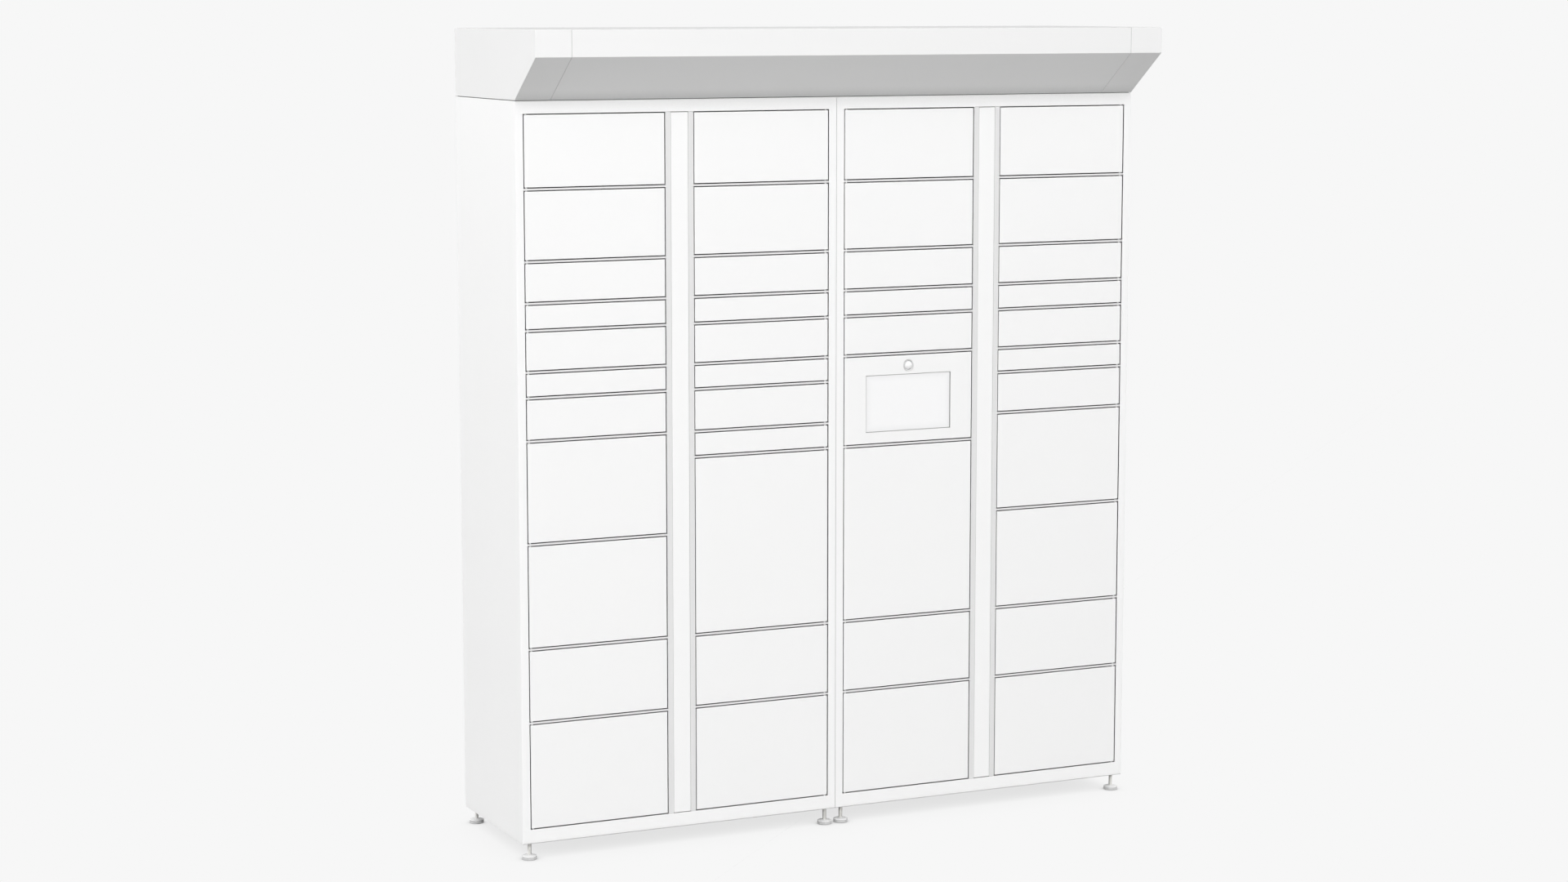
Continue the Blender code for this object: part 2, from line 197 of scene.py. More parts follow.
def make_piece(name, shape, material, body, smooth_angle=35, bevel=0.0):
    """A finished piece: its mesh in place, its edges softened, its finish, and the body it rides on.

    Weighted normals keep the large faces truly flat: only the bends between them are shaded round.
    """
    mesh = outward_mesh(name, shape)
    mesh.shade_smooth()
    mesh.set_sharp_from_angle(angle=math.radians(smooth_angle))
    mesh.materials.append(material)
    piece = add_object(name, mesh)
    if bevel:
        edge = piece.modifiers.new("softened edges", "BEVEL")
        edge.width = bevel
        edge.segments = 2
        edge.limit_method = "ANGLE"
    flats = piece.modifiers.new("true flats", "WEIGHTED_NORMAL")
    flats.keep_sharp = True
    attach(piece, body)
    return piece


# %% [markdown]
# ## Folded sheet
# A press brake bends sheet round a small radius, so no real edge is knife sharp: it catches a thin
# line of light. The stations below list how far the outline is set in at each depth, first over the
# outside of the bend, then back along the inside, one sheet thickness away.


# %% Stations of a folded tray
def bend(inset, depth, radius, steps=4):
    """Stations round a quarter bend: inset + r (1 - sin t) and depth + r (1 - cos t)."""
    t = np.linspace(0, 1, steps + 1) * math.pi / 2
    return np.stack([inset + radius * (1 - np.sin(t)), depth + radius * (1 - np.cos(t))], axis=1)


def tray_stations(depth, sheet, radius):
    """A tray's section: face, outer bend, flange, rim, inside of the flange, inner bend, inner face."""
    inner = max(radius - sheet, 0.2 * MM)
    outside = bend(0.0, 0.0, radius)
    inside = bend(sheet, sheet, inner, steps=2)[::-1]
    burr = 0.3 * MM
    rim = [(0.0, depth - burr), (burr, depth), (sheet - burr, depth), (sheet, depth - burr)]
    return np.concatenate([outside, rim, inside])


def facing_front(outline, depth):
    """Puts an X-Z outline at a depth behind the front plane."""
    return np.column_stack([outline[:, 0], np.full(len(outline), FRONT + depth), outline[:, 1]])


def tray(low, high, stations, corner):
    """A closed tray whose face looks to the front, between two corners in X and Z."""
    corners = rectangle(low, high)
    rings = []
    for inset, depth in stations:
        radius = max(corner - inset, 0.15 * MM)
        rings.append(facing_front(rounded_outline(corners, inset, radius), depth))
    return stacked(rings)


# %% [markdown]
# ## Finishes
# Powder coat is sprayed as dry polyester and baked. Up close its surface is a very shallow orange
# peel of bumps a millimetre or two across, with a satin gloss, and it is a touch thicker and so
# duller in some patches than others. Noise at two scales gives both: one drives the bump, the other
# moves the roughness and the colour by a few hundredths.
#
# Two more things are painted into the colour. A few millimetres behind the front edges of the doors
# and racks the sheet turns grey with a zinc spangle: on the racks this is bare galvanised sheet that
# also darkens the gaps, and on the door flanges it is painted shade in the gaps round the doors. And
# inside corners get painted shade, found by how much of the space in front of a point is taken up by
# other surfaces.


# %% Material helpers
def new_material(name):
    """A material with its nodes and links at hand; a new one already holds a Principled BSDF."""
    material = bpy.data.materials.new(name)
    material.use_nodes = True
    return material, material.node_tree.nodes, material.node_tree.links


def put(links, value, socket):
    """Feeds a socket from another node's output, or sets it to a plain number or colour."""
    if isinstance(value, bpy.types.NodeSocket):
        links.new(value, socket)
    else:
        socket.default_value = value


def calculated(nodes, links, operation, *operands, clamped=False):
    """One step of arithmetic on numbers and other nodes' outputs."""
    step = nodes.new("ShaderNodeMath")
    step.operation = operation
    step.use_clamp = clamped
    for socket, operand in zip(step.inputs, operands):
        put(links, operand, socket)
    return step.outputs["Value"]


def ranged(nodes, links, value, start, end, low=0.0, high=1.0, interpolation="LINEAR"):
    """Maps start...end on to low...high and stops there."""
    mapping = nodes.new("ShaderNodeMapRange")
    mapping.interpolation_type = interpolation
    limits = {"Value": value, "From Min": start, "From Max": end, "To Min": low, "To Max": high}
    for socket, limit in limits.items():
        put(links, limit, mapping.inputs[socket])
    return mapping.outputs["Result"]


def mixed(nodes, links, factor, first, second, blend="MIX"):
    """A colour between two others, each a colour of three numbers or another node's output."""
    mix = nodes.new("ShaderNodeMix")
    mix.data_type = "RGBA"
    mix.blend_type = blend
    put(links, factor, mix.inputs["Factor"])
    for socket, colour in (("A", first), ("B", second)):
        put(links, (*colour, 1.0) if isinstance(colour, tuple) else colour, mix.inputs[socket])
    return mix.outputs["Result"]


def noise(nodes, links, coordinates, scale, detail=3.0):
    """Fractal noise over Object coordinates, in metres."""
    texture = nodes.new("ShaderNodeTexNoise")
    texture.inputs["Scale"].default_value = scale
    texture.inputs["Detail"].default_value = detail
    links.new(coordinates.outputs["Object"], texture.inputs["Vector"])
    return texture.outputs["Fac"]


def spread(nodes, links, value, low, high):
    """Maps noise, which keeps near the middle, on to a range."""
    return ranged(nodes, links, value, 0.3, 0.7, low, high)


def separated(nodes, links, coordinates, kind="Object"):
    """The X, Y and Z of a coordinate, as a node's outputs."""
    place = nodes.new("ShaderNodeSeparateXYZ")
    links.new(coordinates.outputs[kind], place.inputs["Vector"])
    return place.outputs


PEEL_SCALE = 900.0
SPANGLE_SCALE = 140.0
# the least and the most painted shade in inside corners
UNSHADED, DARKEST_SHADE = 1.0, 0.78


def zinc_and_gap_shade_behind(nodes, links, coordinates, shader, base, inner):
    """Lets spangled grey zinc take over from the paint behind the front plane, which also paints shade
    into the gaps round the doors; returns the mixed colour.
    """
    colour, start, end, metallic = inner
    flakes = nodes.new("ShaderNodeTexVoronoi")
    flakes.inputs["Scale"].default_value = SPANGLE_SCALE
    links.new(coordinates.outputs["Object"], flakes.inputs["Vector"])
    spangle = spread(nodes, links, flakes.outputs["Distance"], 0.0, 1.0)
    inside = mixed(nodes, links, spangle, colour, tuple(min(1.0, 1.12 * c) for c in colour))
    depth = separated(nodes, links, coordinates)["Y"]
    mask = ranged(nodes, links, depth, FRONT + start, FRONT + end, interpolation="SMOOTHSTEP")
    links.new(calculated(nodes, links, "MULTIPLY", mask, metallic), shader.inputs["Metallic"])
    return mixed(nodes, links, mask, base, inside)


def painted_corner_shade(nodes, links, base, reach):
    """Painted shade: darkens a colour a little, by a fifth at most, where another surface stands within
    reach.
    """
    crevice = nodes.new("ShaderNodeAmbientOcclusion")
    crevice.samples = 6
    crevice.inputs["Distance"].default_value = reach
    painted_shade = ranged(nodes, links, crevice.outputs["AO"], DARKEST_SHADE, UNSHADED, DARKEST_SHADE, UNSHADED)
    return mixed(nodes, links, 1.0, base, painted_shade, "MULTIPLY")


def painted(
    name, colour, tint, roughness, haze=0.05, peel=0.05, metallic=0.0, coat=0.0, shine=0.5,
    inner=None, corner=0.0,
):
    """Paint or plating: patchy colour and roughness, and a fine bump of a given height in millimetres.

    inner = (colour, start, end, metallic) is the zinc finish, also painted gap shade, that takes over
    behind the front plane.
    corner is how far the painted shade in an inside corner reaches, in metres.
    """
    material, nodes, links = new_material(name)
    shader = nodes["Principled BSDF"]
    coordinates = nodes.new("ShaderNodeTexCoord")
    patches = noise(nodes, links, coordinates, 3.0, detail=4.0)
    base = mixed(nodes, links, patches, colour, tint)
    shader.inputs["Metallic"].default_value = metallic
    # grey zinc behind the front plane, partly painted shade in the gaps
    if inner:
        base = zinc_and_gap_shade_behind(nodes, links, coordinates, shader, base, inner)
    # painted shade in inside corners
    if corner:
        base = painted_corner_shade(nodes, links, base, corner)
    links.new(base, shader.inputs["Base Color"])
    hazy = noise(nodes, links, coordinates, 11.0)
    satin = spread(nodes, links, hazy, roughness - haze, roughness + haze)
    links.new(satin, shader.inputs["Roughness"])
    shader.inputs["Coat Weight"].default_value = coat
    shader.inputs["Specular IOR Level"].default_value = shine
    bump = nodes.new("ShaderNodeBump")
    bump.inputs["Distance"].default_value = peel * MM
    bump.inputs["Strength"].default_value = 0.35
    links.new(noise(nodes, links, coordinates, PEEL_SCALE, detail=2.0), bump.inputs["Height"])
    links.new(bump.outputs["Normal"], shader.inputs["Normal"])
    return material


# %% The finishes
# how far the painted shade in inside corners reaches
CORNER_SHADE_REACH = 60 * MM
BODY_PAINT = painted(
    "body powder coat", (0.9, 0.9, 0.9), (0.912, 0.912, 0.909), 0.48, corner=CORNER_SHADE_REACH,
)
# behind the face, the grey on the door's flanges is painted shade in the gaps round the doors
DOOR_PAINT = painted(
    "door powder coat", (0.885, 0.885, 0.885), (0.897, 0.897, 0.894), 0.44,
    inner=((0.42, 0.42, 0.43), 1.2 * MM, 3.5 * MM, 0.3),
)
# behind its front edge the rack is bare galvanised sheet, whose grey also paints shade into the gaps
# between the doors
RACK_PAINT = painted(
    "rack paint over galvanised sheet", (0.74, 0.74, 0.74), (0.755, 0.755, 0.752), 0.46,
    inner=((0.42, 0.425, 0.435), 2.2 * MM, 4.0 * MM, 0.45),
)
CANOPY_PAINT = painted(
    "canopy powder coat", (0.845, 0.845, 0.845), (0.86, 0.86, 0.857), 0.62, shine=0.0,
    corner=CORNER_SHADE_REACH,
)
ZINC = painted("zinc plating", (0.72, 0.72, 0.71), (0.78, 0.77, 0.74), 0.4, peel=0.02, metallic=0.7)
FOOT_PLASTIC = painted(
    "white foot cap", (0.95, 0.95, 0.95), (0.96, 0.96, 0.958), 0.5, peel=0.02, shine=0.0,
)
# the sole's grey is painted shade on the lower part of the white foot
FOOT_SIDE_SHADE = painted("grey sole painted shade", (0.58, 0.58, 0.58), (0.62, 0.62, 0.62), 0.7, peel=0.05)
# near-black seal colour, which also paints the shadow line under the canopy
SEAL = painted("dark foam seal", (0.09, 0.09, 0.09), (0.11, 0.11, 0.11), 0.8, peel=0.2, shine=0.2)

# %% [markdown]
# ## Camera, light and floor
# The locker stands on an endless pale floor under a soft white dome, with one large soft lamp high
# on the left that makes the faces fall off gently towards the right and the bottom.

# %% Camera
CAMERA_YAW = 25.007
CAMERA_PITCH = -7.895
CAMERA_PLACE = (LEFT_LOW[0] - 3.0628, FRONT - 8.3453, BASE + 2.4041)
camera = add_object("camera", bpy.data.cameras.new("camera"))
camera.data.lens = 72.55
camera.data.sensor_width = 36.0
camera.location = CAMERA_PLACE
camera.rotation_euler = (math.radians(90.0 + CAMERA_PITCH), 0.0, math.radians(-CAMERA_YAW))
bpy.context.scene.camera = camera
bpy.context.scene.view_settings.view_transform = "Standard"

# %% [markdown]
# The dome is brightest at the horizon and falls off towards the zenith as DOME (1 - z) ^ DOME_FALL,
# so upright faces come out lighter than the canopy's top. The backdrop behind the locker keeps one
# even pale grey of its own.

# %% Dome light
DOME = 2.96
DOME_FALL = 1.25
BACKDROP = 0.93
WHITE = (1.0, 1.0, 1.0, 1.0)
world = bpy.data.worlds.new("studio dome")
bpy.context.scene.world = world
world.use_nodes = True
dome = (world.node_tree.nodes, world.node_tree.links)
dome_nodes, dome_links = dome
height = separated(*dome, dome_nodes.new("ShaderNodeTexCoord"), "Generated")["Z"]
fall = calculated(*dome, "POWER", calculated(*dome, "SUBTRACT", 1.0, height, clamped=True), DOME_FALL)
dome_light = dome_nodes["Background"]
dome_light.inputs["Color"].default_value = WHITE
dome_links.new(calculated(*dome, "MULTIPLY", fall, DOME), dome_light.inputs["Strength"])
backdrop = dome_nodes.new("ShaderNodeBackground")
backdrop.inputs["Color"].default_value = WHITE
backdrop.inputs["Strength"].default_value = BACKDROP


def shown_or_lighting(nodes, links, lighting, shown, output):
    """One shader where the thing itself is seen, another one for the light that it gives."""
    path = nodes.new("ShaderNodeLightPath")
    mix = nodes.new("ShaderNodeMixShader")
    links.new(path.outputs["Is Camera Ray"], mix.inputs["Fac"])
    links.new(lighting, mix.inputs[1])
    links.new(shown, mix.inputs[2])
    links.new(mix.outputs["Shader"], nodes[output].inputs["Surface"])


lighting, shown = dome_light.outputs["Background"], backdrop.outputs["Background"]
shown_or_lighting(*dome, lighting, shown, "World Output")

# %% Floor and lamp
FLOOR_SIZE = 200.0
FLOOR_BOUNCE = 0.33
CONTACT_SHADES = ((0.25, 2.85, 0.22), (0.045, 1.3, 0.9))


def make_floor():
    """A floor as pale as the backdrop, which throws a grey light back.

    It is shaded only near the feet and the base. Each contact shade is (reach, power, share) and
    multiplies the floor's light by 1 - share * hidden ^ power, where hidden is how much is blocked.
    """
    rim = np.array(rectangle((-FLOOR_SIZE, -FLOOR_SIZE), (FLOOR_SIZE, FLOOR_SIZE)))
    mesh = bpy.data.meshes.new("studio floor")
    mesh.from_pydata(np.column_stack([rim, np.zeros(4)]).tolist(), [], [[0, 1, 2, 3]])
    material, nodes, links = new_material("studio floor")
    nodes.remove(nodes["Principled BSDF"])
    light = BACKDROP
    for reach, power, share in CONTACT_SHADES:
        contact = nodes.new("ShaderNodeAmbientOcclusion")
        contact.inputs["Distance"].default_value = reach
        contact.samples = 16
        hidden = calculated(nodes, links, "SUBTRACT", 1.0, contact.outputs["AO"])
        close = calculated(nodes, links, "POWER", hidden, power)
        shade = calculated(nodes, links, "MULTIPLY_ADD", close, -share, 1.0)
        light = calculated(nodes, links, "MULTIPLY", shade, light)
    shown = nodes.new("ShaderNodeEmission")
    links.new(light, shown.inputs["Strength"])
    thrown = nodes.new("ShaderNodeBsdfDiffuse")
    thrown.inputs["Color"].default_value = (FLOOR_BOUNCE, FLOOR_BOUNCE, FLOOR_BOUNCE, 1.0)
    lighting, shown = thrown.outputs["BSDF"], shown.outputs["Emission"]
    shown_or_lighting(nodes, links, lighting, shown, "Material Output")
    mesh.materials.append(material)
    add_object("studio_floor", mesh)


def make_lamp(name, place, target, size, power):
    """A round soft lamp, turned to face its target."""
    lamp = add_object(name, bpy.data.lights.new(name, "AREA"))
    lamp.data.shape = "DISK"
    lamp.data.size = size
    lamp.data.energy = power
    lamp.location = place
    direction = np.array(target) - np.array(place)
    yaw = math.atan2(direction[0], direction[1])
    pitch = math.atan2(direction[2], math.hypot(direction[0], direction[1]))
    lamp.rotation_euler = (math.radians(90.0) + pitch, 0.0, -yaw)


make_floor()
KEY_POWER = 103.0
make_lamp("key", (-4.5, -5.5, 5.0), (0.0, 0.0, 1.4), 3.0, KEY_POWER)

# %% [markdown]
# ## Cabinet shells
# Each cabinet is one sheet wrapped round the sides and back, with the front frame returned inwards
# round the opening. As rings of a rectangle it reads: back panel, sides, front frame, the lip round
# the opening, and then the same way back on the inside.

# %% Cabinet shells
SHEET = 1.5 * MM
SHELL_BEND = 4.0 * MM
JOINT_BEND = 0.8 * MM
LIP_BEND = 0.8 * MM
SIDE_MARGIN = 24.5 * MM
COVER_PLAY = 1.5 * MM  # above and below the channel covers


def shell_shape(low, high, joint_side):
    """Stations from the back panel forwards over the outside, into the opening, and back inside.

    The edge against the neighbouring cabinet is bent tighter: its insets are scaled by softness.
    """
    softness = np.ones(4)
    softness[joint_side] = JOINT_BEND / SHELL_BEND
    depth = high[1] - low[1]
    header = TOP - (COVER_HIGH[2] + COVER_PLAY)
    sill = COVER_LOW[2] - COVER_PLAY - BASE
    margin = np.array([sill, SIDE_MARGIN, header, SIDE_MARGIN])
    corners = rectangle((low[0], low[2]), (high[0], high[2]))
    walls = np.full(4, SHEET)
    outside = [(i * softness, depth - d) for i, d in bend(0, 0, SHELL_BEND)]
    outside += [(i * softness, d) for i, d in bend(0, 0, SHELL_BEND)[::-1]]
    inside = [(margin - i, d) for i, d in bend(0, 0, LIP_BEND)]
    inside += [(margin, SHEET), (walls, SHEET), (walls, depth - SHEET)]
    rings = []
    for stations, radius in ((outside, LIP_BEND / 2), (inside, LIP_BEND)):
        for inset, at in stations:
            rings.append(facing_front(rounded_outline(corners, inset, radius, steps=3), at))
    return stacked(rings)


CABINETS = (("left", LEFT_LOW, LEFT_HIGH, 1), ("right", RIGHT_LOW, RIGHT_HIGH, 3))
for side, low, high, joint_side in CABINETS:
    shell = shell_shape(low, high, joint_side)
    shell = make_piece(f"{side}_cabinet", shell, BODY_PAINT, "cabinet")
    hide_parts(f"{side}_shell")
    print(shell.name, len(shell.data.polygons), "faces")

# %% [markdown]
# ## Doors
# A locker door is a shallow tray: a face with four flanges folded back, open behind. Seen from
# outside only the face and its bends show, with an even gap all round.

# %% Doors
DOOR_DEPTH = 16 * MM
DOOR_BEND = 1.6 * MM
DOOR_CORNER = 1.0 * MM
PIN_REACH = 5.2 * MM
doors = sorted(name for name in frame["bodies"] if name.startswith("door_"))


def door_edges(name):
    """A door's face rectangle in X and Z, without the pins that stand out of its ends."""
    low, high = box(name)
    return (low[0], low[2] + PIN_REACH), (high[0], high[2] - PIN_REACH)


for name in doors:
    face_low, face_high = door_edges(name)
    shape = tray(face_low, face_high, tray_stations(DOOR_DEPTH, SHEET, DOOR_BEND), DOOR_CORNER)
    panel = make_piece(f"{name}_panel", shape, DOOR_PAINT, name)
    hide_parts(name)
print(len(doors), "doors")

# %% [markdown]
# ## Turned parts
# Pins, bushes, rivets, feet and the camera dome are all turned: a profile of radius against height,
# carried once round an axis. Writing the radius as a formula of angle and height, and not of height
# alone, even gives a screw thread.


# %% Turned parts
AXES = {"x": (1, 2, 0), "y": (2, 0, 1), "z": (0, 1, 2)}


def turned(profile, centre, axis="z", sides=24):
    """A closed body of revolution: centre + axis * h + r (cos a, sin a), for each (r, h) in profile."""
    profile = np.asarray(profile, float)
    angle = np.arange(sides) * 2 * math.pi / sides
    first, second, along = AXES[axis]
    rings = np.zeros((len(profile), sides, 3))
    rings[:, :, first] = profile[:, :1] * np.cos(angle)
    rings[:, :, second] = profile[:, :1] * np.sin(angle)
    rings[:, :, along] = profile[:, 1:]
    return stacked(rings + np.asarray(centre, float))


def threaded(centre, radius, depth, pitch, low, high, sides=24):
    """A threaded rod: r = radius - depth * |2 frac(h / pitch - a / 2 pi) - 1|, with plain ends."""
    rows = int((high - low) / pitch * 6)
    h = np.linspace(low, high, rows)[:, None]
    angle = (np.arange(sides) * 2 * math.pi / sides)[None, :]
    wave = np.abs(2 * np.mod(h / pitch - angle / (2 * math.pi), 1.0) - 1)
    r = radius - depth * wave
    r[[0, -1]] = radius - depth
    rings = np.stack([r * np.cos(angle), r * np.sin(angle), h + 0 * angle], axis=-1)
    return stacked(rings + np.asarray(centre, float))


def extruded(outline, axis, start, end):
    """A prism: an outline in the two other axes, in X, Y, Z order, between two places along an axis."""
    outline = np.asarray(outline, float)
    along = "xyz".index(axis)
    others = [i for i in range(3) if i != along]
    rings = np.zeros((2, len(outline), 3))
    rings[:, :, others] = outline
    rings[0, :, along], rings[1, :, along] = start, end
    return stacked(rings)


def block(low, high):
    """A plain box between two corners."""
    return extruded(rectangle((low[0], low[2]), (high[0], high[2])), "y", low[1], high[1])


# %% [markdown]
# ## Hinge pins and strikes
# Every door hangs on two short pins near its outer edge, one at the top and one at the bottom, that
# stand in holes in the rails. A white nylon bush fills the gap round each pin. At the free edge a
# bent steel tongue reaches back into the lock. These are the same on every door, so one loop makes
# them from the door's own box.

# %% Hinge pins and strikes
PIN_INSET = 6.5 * MM
PIN_BEHIND = 5.5 * MM
DOOR_GAP = 3 * MM
STRIKE_HEIGHT = 16 * MM
STRIKE_REACH = 34 * MM
STRIKE_INSET = 6 * MM
STRIKE_SHEET = 2 * MM
STRIKE_FOOT = 14 * MM
BEHIND_FACE = FRONT + SHEET + 0.1 * MM
hinge_side = {j["child"]: j["axis"][2] for j in frame["joints"] if j["type"] == "hinge"}


def pin_shapes(x, z, way):
    """A pin and its bush; way is +1 above a door and -1 below it."""
    centre = (x, FRONT + PIN_BEHIND, z)
    pin = [(0.0, -4.0), (2.0, -4.0), (2.0, 4.7), (1.5, 5.2), (0.0, 5.2)]
    bush = [(2.1, 0.2), (2.6, 0.2), (2.9, 0.5), (2.9, 2.4), (2.6, 2.7), (2.1, 2.7)]
    pin = [(r * MM, way * h * MM) for r, h in pin]
    bush = [(r * MM, way * h * MM) for r, h in bush]
    return turned(pin, centre, sides=12), turned(bush, centre, sides=16)


def strike_shape(side, x, z):
    """A strip bent into an L: a foot welded to the door's inner face, and a tongue that points back."""
    end, half, chamfer = FRONT + STRIKE_REACH, STRIKE_HEIGHT / 2, 3 * MM
    outline = [
        (BEHIND_FACE, z - half), (end - chamfer, z - half), (end, z - half + chamfer),
        (end, z + half - chamfer), (end - chamfer, z + half), (BEHIND_FACE, z + half),
    ]
    tongue = extruded(outline, "x", x, x + STRIKE_SHEET)
    foot_x = x - STRIKE_FOOT if side < 0 else x + STRIKE_SHEET
    foot_low = (foot_x, BEHIND_FACE, z - half)
    foot_high = (foot_x + STRIKE_FOOT, BEHIND_FACE + STRIKE_SHEET, foot_low[2] + STRIKE_HEIGHT)
    return joined([tongue, block(foot_low, foot_high)])


def make_door_hardware(name):
    """The pins, bushes and strike of one door, on the side that the frame's joint says."""
    low, high = door_edges(name)
    side = hinge_side[name]
    hinge_x = (low[0] + PIN_INSET) if side < 0 else (high[0] - PIN_INSET)
    free_x = (high[0] - STRIKE_INSET - STRIKE_SHEET) if side < 0 else (low[0] + STRIKE_INSET)
    pins, bushes = zip(pin_shapes(hinge_x, high[1], 1), pin_shapes(hinge_x, low[1], -1))
    steel = joined([*pins, strike_shape(side, free_x, (low[1] + high[1]) / 2)])
    make_piece(f"{name}_pins_and_strike", steel, ZINC, name)
    make_piece(f"{name}_bushes", joined(bushes), NYLON, name)


NYLON = painted("white nylon", (0.86, 0.86, 0.85), (0.88, 0.88, 0.87), 0.4, peel=0.01)
hinged = [*doors, "terminal_door"]
for name in hinged:
    make_door_hardware(name)
print(len(hinged), "sets of pins, bushes and strikes")

# %% [markdown]
# ## Terminal door
# The control panel is a door like the others with two windows: one for the screen and one for the
# camera. Its rings run round the screen window as well as round the edge, so the stack closes on
# itself like a picture frame. The round camera window is then cut with a cylinder.

# %% Terminal door
SCREEN_WIDTH = 284 * MM
SCREEN_HEIGHT = 170.6 * MM
SCREEN_RECESS = 2.5 * MM
GLASS_GAP = 1.6 * MM
DOME_RADIUS = 13 * MM
DOME_HEIGHT = 10 * MM
DOME_CENTRE = 3 * MM
BEZEL = 8 * MM
terminal_low, terminal_high = box("control_terminal")
panel_low, panel_high = door_edges("terminal_door")
centre_x = (terminal_low[0] + terminal_high[0]) / 2
screen_low = (centre_x - SCREEN_WIDTH / 2, terminal_low[2] + 14 * MM)
screen_high = (screen_low[0] + SCREEN_WIDTH, screen_low[1] + SCREEN_HEIGHT)
CAMERA_Z = screen_high[1] + 25.4 * MM
CAMERA_WINDOW = 18 * MM


def cut(piece, shape):
    """Cuts a closed shape out of a piece for good."""
    cutter = add_object("cutter", outward_mesh("cutter", shape))
    modifier = piece.modifiers.new("cut", "BOOLEAN")
    modifier.object = cutter
    evaluated = piece.evaluated_get(bpy.context.evaluated_depsgraph_get())
    result = bpy.data.meshes.new_from_object(evaluated)
    piece.modifiers.remove(modifier)
    piece.data = result
    bpy.data.objects.remove(cutter)


def terminal_door_shape():
    """Rings from the rim of the flanges over the face to the window and back behind it."""
    corners = rectangle(panel_low, panel_high)
    margin = np.array([
        screen_low[1] - panel_low[1], panel_high[0] - screen_high[0],
        panel_high[1] - screen_high[1], screen_low[0] - panel_low[0],
    ])
    soft = 0.3 * MM
    stations = [(np.full(4, i), d) for i, d in tray_stations(DOOR_DEPTH, SHEET, DOOR_BEND)]
    stations += [(margin - soft, SHEET), (margin, SHEET - soft), (margin, soft), (margin - soft, 0.0)]
    rings = []
    for inset, depth in stations:
        radius = max(DOOR_CORNER - inset[0], 0.5 * MM)
        rings.append(facing_front(rounded_outline(corners, inset, radius), depth))
    return stacked(rings, looped=True)


CAMERA_PLACE_ON_DOOR = (centre_x, FRONT, CAMERA_Z)
panel = terminal_door_shape()
panel = make_piece("terminal_door_panel", panel, DOOR_PAINT, "terminal_door")
window = turned([(CAMERA_WINDOW, -5 * MM), (CAMERA_WINDOW, 5 * MM)], CAMERA_PLACE_ON_DOOR, "y", 64)
cut(panel, window)
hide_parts("terminal_door")

# %% [markdown]
# ## Screen, camera and computer
# Behind the panel sits the terminal: a sheet of satin safety glass in a slim frame, a white camera
# dome in a shallow cup above it, and the flat computer box on the mounting plate at the back. The
# glass is matt, because it stands outdoors and must not mirror the sky.

# %% Terminal finishes
SPECKLE = 700.0
# width of the painted shade along the screen's edges
EDGE_SHADE_WIDTH = 26 * MM


def screen_glass(low, high):
    """Etched glass: a fine speckle, and a painted shade from the recess round it that fades inwards
    from all four edges.

    The shade is max(u, v) squared, with u and v from 0 to 1 across the band of shade at the edges.
    """
    material, nodes, links = new_material("etched safety glass")
    shader = nodes["Principled BSDF"]
    coordinates = nodes.new("ShaderNodeTexCoord")
    speckle = spread(nodes, links, noise(nodes, links, coordinates, SPECKLE, detail=1.0), 0.0, 1.0)
    clear = mixed(nodes, links, speckle, (0.9, 0.9, 0.903), (0.915, 0.915, 0.918))
    place = separated(nodes, links, coordinates)
    nearness = []
    for axis, side in (("X", 0), ("Z", 1)):
        middle, half = float(low[side] + high[side]) / 2, float(high[side] - low[side]) / 2
        away = calculated(nodes, links, "SUBTRACT", place[axis], middle)
        distance = calculated(nodes, links, "ABSOLUTE", away)
        nearness.append(ranged(nodes, links, distance, half - EDGE_SHADE_WIDTH, half))
    edge_shade = calculated(nodes, links, "MAXIMUM", *nearness)
    fade = calculated(nodes, links, "POWER", edge_shade, 2.0)
    links.new(mixed(nodes, links, fade, clear, (0.83, 0.83, 0.835)), shader.inputs["Base Color"])
    rough = spread(nodes, links, noise(nodes, links, coordinates, SPECKLE), 0.4, 0.5)
    links.new(rough, shader.inputs["Roughness"])
    return material


SCREEN_GLASS = screen_glass(screen_low, screen_high)
DOME_PLASTIC = painted(
    "camera dome", (0.9, 0.9, 0.9), (0.91, 0.91, 0.91), 0.25, haze=0.02, peel=0.005, coat=0.3,
)
HOUSING = painted("terminal housing", (0.83, 0.83, 0.83), (0.85, 0.85, 0.85), 0.5, peel=0.03)
GASKET = painted("grey gasket", (0.5, 0.5, 0.5), (0.55, 0.55, 0.55), 0.8, peel=0.1)
DARK_PLASTIC = painted("dark plastic", (0.05, 0.05, 0.055), (0.07, 0.07, 0.07), 0.5, peel=0.03)

# %% Screen and computer
GLASS_FRONT = FRONT + SCREEN_RECESS
PLATE_FRONT = GLASS_FRONT + 14.1 * MM
COMPUTER_BACK = terminal_high[1] - 1 * MM
COMPUTER_WIDTH = 240 * MM
COMPUTER_INSET = 10.3 * MM  # below and above the screen's edges
FIN_COUNT = 20
FIN_PITCH = 10 * MM
FIN_WIDTH = 4 * MM


def slab(low, high, front, back, edge, corner):
    """A plate facing the front, its front edge rounded by edge and its corners by corner."""
    corners = rectangle(low, high)
    rings = []
    for inset, depth in (*bend(0.0, 0.0, edge), (0.0, back - front)):
        outline = rounded_outline(corners, inset, max(corner - inset, 0.2 * MM))
        rings.append(facing_front(outline, front - FRONT + depth))
    return stacked(rings)


def round_screen(by, front, back, edge, corner):
    """A slab behind the screen window, larger than it by a margin all round."""
    low = (screen_low[0] - by, screen_low[1] - by)
    high = (screen_high[0] + by, screen_high[1] + by)
    return slab(low, high, GLASS_FRONT + front * MM, GLASS_FRONT + back * MM, edge * MM, corner * MM)


def on_terminal_door(name, shape, material):
    """A piece that swings with the terminal door."""
    return make_piece(name, shape, material, "terminal_door")


